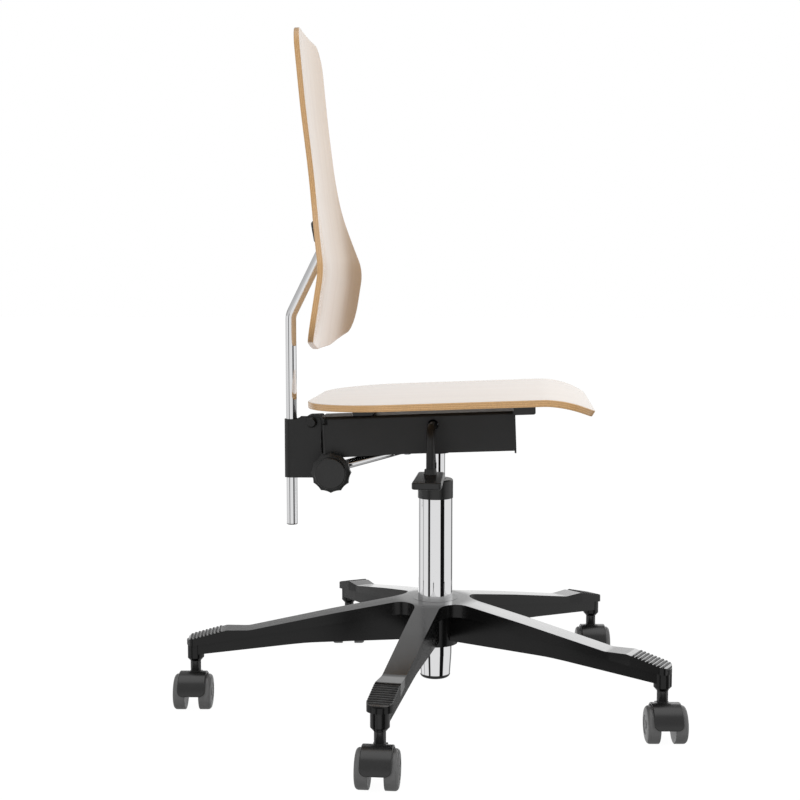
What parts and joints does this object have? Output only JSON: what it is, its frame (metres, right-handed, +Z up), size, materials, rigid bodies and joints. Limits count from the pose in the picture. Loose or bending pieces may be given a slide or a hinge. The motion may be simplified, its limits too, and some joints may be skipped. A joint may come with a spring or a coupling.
{
  "type": "work chair",
  "caption": "Swivel work chair with bent plywood seat and back, gas height column, tilting height-adjustable back and a five-star base on twin-wheel casters.",
  "frame": {"origin": "on the floor, on the column's axis", "axes": "+Z up along the gas column, +X towards the front of the seat, Y across the seat"},
  "size_m": [0.7126, 0.7178, 0.955],
  "materials": {
    "plywood": "clear lacquered beech plywood",
    "chrome": "bright chrome plate",
    "wheel_plastic": "moulded dark grey nylon",
    "hood_plastic": "moulded charcoal nylon",
    "base_nylon": "fine grained black glass-filled nylon",
    "trim_plastic": "satin black plastic",
    "black_steel": "black powder coat",
    "zinc_steel": "zinc plated"
  },
  "bodies": {
    "base": {"star_base": "base_nylon", "caster_stems": "zinc_steel", "column_housing": "chrome", "column_bush": "trim_plastic", "thrust_bearing": "zinc_steel"},
    "piston": {"piston_rod": "chrome", "rod_clip": "zinc_steel"},
    "seat_frame": {"gas_cylinder": "chrome", "mechanism_channel": "black_steel", "front_plate": "black_steel", "seat_rail_front": "black_steel", "seat_rail_rear": "black_steel", "rail_plugs": "trim_plastic", "seat_screws": "zinc_steel", "taper_socket": "black_steel", "hinge_tongue": "black_steel", "strut_clevis": "black_steel", "seat_shell": "plywood", "lever_pin": "zinc_steel", "lever_bracket": "black_steel"},
    "lever": {"release_lever": "black_steel", "lever_paddle": "trim_plastic"},
    "valve": {"valve_pin": "zinc_steel"},
    "back_carrier": {"back_bracket": "black_steel", "sleeve_liner": "trim_plastic", "pivot_bolt": "black_steel", "pivot_nut": "zinc_steel", "clamp_nut": "zinc_steel", "clamp_spacers": "black_steel"},
    "back": {"back_tube": "chrome", "tube_plug": "trim_plastic", "back_clip": "trim_plastic", "clip_screws": "zinc_steel", "back_shell": "plywood"},
    "knob": {"clamp_bolt": "zinc_steel", "clamp_knob": "trim_plastic"},
    "strut": {"strut_rods": "chrome"},
    "yoke": {"strut_yoke": "zinc_steel"},
    "caster_1": {"caster_hood_1": "hood_plastic", "caster_axle_1": "zinc_steel"},
    "wheel_left_1": {"wheel_left_1": "wheel_plastic"},
    "wheel_right_1": {"wheel_right_1": "wheel_plastic"},
    "caster_2": {"caster_hood_2": "hood_plastic", "caster_axle_2": "zinc_steel"},
    "wheel_left_2": {"wheel_left_2": "wheel_plastic"},
    "wheel_right_2": {"wheel_right_2": "wheel_plastic"},
    "caster_3": {"caster_hood_3": "hood_plastic", "caster_axle_3": "zinc_steel"},
    "wheel_left_3": {"wheel_left_3": "wheel_plastic"},
    "wheel_right_3": {"wheel_right_3": "wheel_plastic"},
    "caster_4": {"caster_hood_4": "hood_plastic", "caster_axle_4": "zinc_steel"},
    "wheel_left_4": {"wheel_left_4": "wheel_plastic"},
    "wheel_right_4": {"wheel_right_4": "wheel_plastic"},
    "caster_5": {"caster_hood_5": "hood_plastic", "caster_axle_5": "zinc_steel"},
    "wheel_left_5": {"wheel_left_5": "wheel_plastic"},
    "wheel_right_5": {"wheel_right_5": "wheel_plastic"}
  },
  "joints": [
    {"name": "seat_swivel", "type": "hinge", "parent": "base", "child": "piston", "pos_m": [0, 0, 0.3], "axis": [0, 0, 1], "continuous": true},
    {"name": "seat_height", "type": "slide", "parent": "piston", "child": "seat_frame", "axis": [0, 0, 1], "range_m": [-0.035, 0.12]},
    {"name": "lever_lift", "type": "hinge", "parent": "seat_frame", "child": "lever", "pos_m": [-0.002, -0.0205, 0.405], "axis": [-1, 0, 0], "range_deg": [0, 6], "stiffness_Nm_per_rad": 1, "springref_deg": -11.46},
    {"name": "valve_press", "type": "slide", "parent": "seat_frame", "child": "valve", "axis": [0, 0, -1], "range_m": [0, 0.0023]},
    {"name": "back_tilt", "type": "hinge", "parent": "seat_frame", "child": "back_carrier", "pos_m": [-0.179, 0, 0.405], "axis": [0, -1, 0], "range_deg": [-5, 8]},
    {"name": "back_height", "type": "slide", "parent": "back_carrier", "child": "back", "axis": [0, 0, 1], "range_m": [-0.05, 0.06]},
    {"name": "knob_turn", "type": "hinge", "parent": "back_carrier", "child": "knob", "pos_m": [-0.1467, 0, 0.3365], "axis": [0, -1, 0], "continuous": true},
    {"name": "strut_swing", "type": "hinge", "parent": "back_carrier", "child": "strut", "pos_m": [-0.1467, 0, 0.3365], "axis": [0, -1, 0], "range_deg": [-10, 7]},
    {"name": "yoke_turn", "type": "hinge", "parent": "seat_frame", "child": "yoke", "pos_m": [-0.04, 0, 0.36669], "axis": [0, -1, 0], "range_deg": [-4, 4]},
    {"name": "caster_swivel_1", "type": "hinge", "parent": "base", "child": "caster_1", "pos_m": [-0.34228, -0.06282, 0.06], "axis": [0, 0, 1], "continuous": true},
    {"name": "wheel_left_1_spin", "type": "hinge", "parent": "caster_1", "child": "wheel_left_1", "pos_m": [-0.34019, -0.08673, 0.025], "axis": [0.9962, 0.0872, 0], "continuous": true},
    {"name": "wheel_right_1_spin", "type": "hinge", "parent": "caster_1", "child": "wheel_right_1", "pos_m": [-0.34019, -0.08673, 0.025], "axis": [0.9962, 0.0872, 0], "continuous": true},
    {"name": "caster_swivel_2", "type": "hinge", "parent": "base", "child": "caster_2", "pos_m": [-0.04603, -0.34494, 0.06], "axis": [0, 0, 1], "continuous": true},
    {"name": "wheel_left_2_spin", "type": "hinge", "parent": "caster_2", "child": "wheel_left_2", "pos_m": [-0.04644, -0.36894, 0.025], "axis": [0.9998, -0.0175, 0], "continuous": true},
    {"name": "wheel_right_2_spin", "type": "hinge", "parent": "caster_2", "child": "wheel_right_2", "pos_m": [-0.04644, -0.36894, 0.025], "axis": [0.9998, -0.0175, 0], "continuous": true},
    {"name": "caster_swivel_3", "type": "hinge", "parent": "base", "child": "caster_3", "pos_m": [0.31384, -0.15037, 0.06], "axis": [0, 0, 1], "continuous": true},
    {"name": "wheel_left_3_spin", "type": "hinge", "parent": "caster_3", "child": "wheel_left_3", "pos_m": [0.31593, -0.17428, 0.025], "axis": [0.9962, 0.0872, 0], "continuous": true},
    {"name": "wheel_right_3_spin", "type": "hinge", "parent": "caster_3", "child": "wheel_right_3", "pos_m": [0.31593, -0.17428, 0.025], "axis": [0.9962, 0.0872, 0], "continuous": true},
    {"name": "caster_swivel_4", "type": "hinge", "parent": "base", "child": "caster_4", "pos_m": [0.23999, 0.25201, 0.06], "axis": [0, 0, 1], "continuous": true},
    {"name": "wheel_left_4_spin", "type": "hinge", "parent": "caster_4", "child": "wheel_left_4", "pos_m": [0.24166, 0.22807, 0.025], "axis": [0.9976, 0.0698, 0], "continuous": true},
    {"name": "wheel_right_4_spin", "type": "hinge", "parent": "caster_4", "child": "wheel_right_4", "pos_m": [0.24166, 0.22807, 0.025], "axis": [0.9976, 0.0698, 0], "continuous": true},
    {"name": "caster_swivel_5", "type": "hinge", "parent": "base", "child": "caster_5", "pos_m": [-0.16552, 0.30612, 0.06], "axis": [0, 0, 1], "continuous": true},
    {"name": "wheel_left_5_spin", "type": "hinge", "parent": "caster_5", "child": "wheel_left_5", "pos_m": [-0.16342, 0.28221, 0.025], "axis": [0.9962, 0.0872, 0], "continuous": true},
    {"name": "wheel_right_5_spin", "type": "hinge", "parent": "caster_5", "child": "wheel_right_5", "pos_m": [-0.16342, 0.28221, 0.025], "axis": [0.9962, 0.0872, 0], "continuous": true}
  ],
  "couplings": [
    {"joint": "valve_press", "follows": "lever_lift", "m_per_rad": 0.0205},
    {"joint": "strut_swing", "follows": "back_tilt", "ratio": -1.1375},
    {"joint": "yoke_turn", "follows": "back_tilt", "ratio": -0.1375}
  ]
}
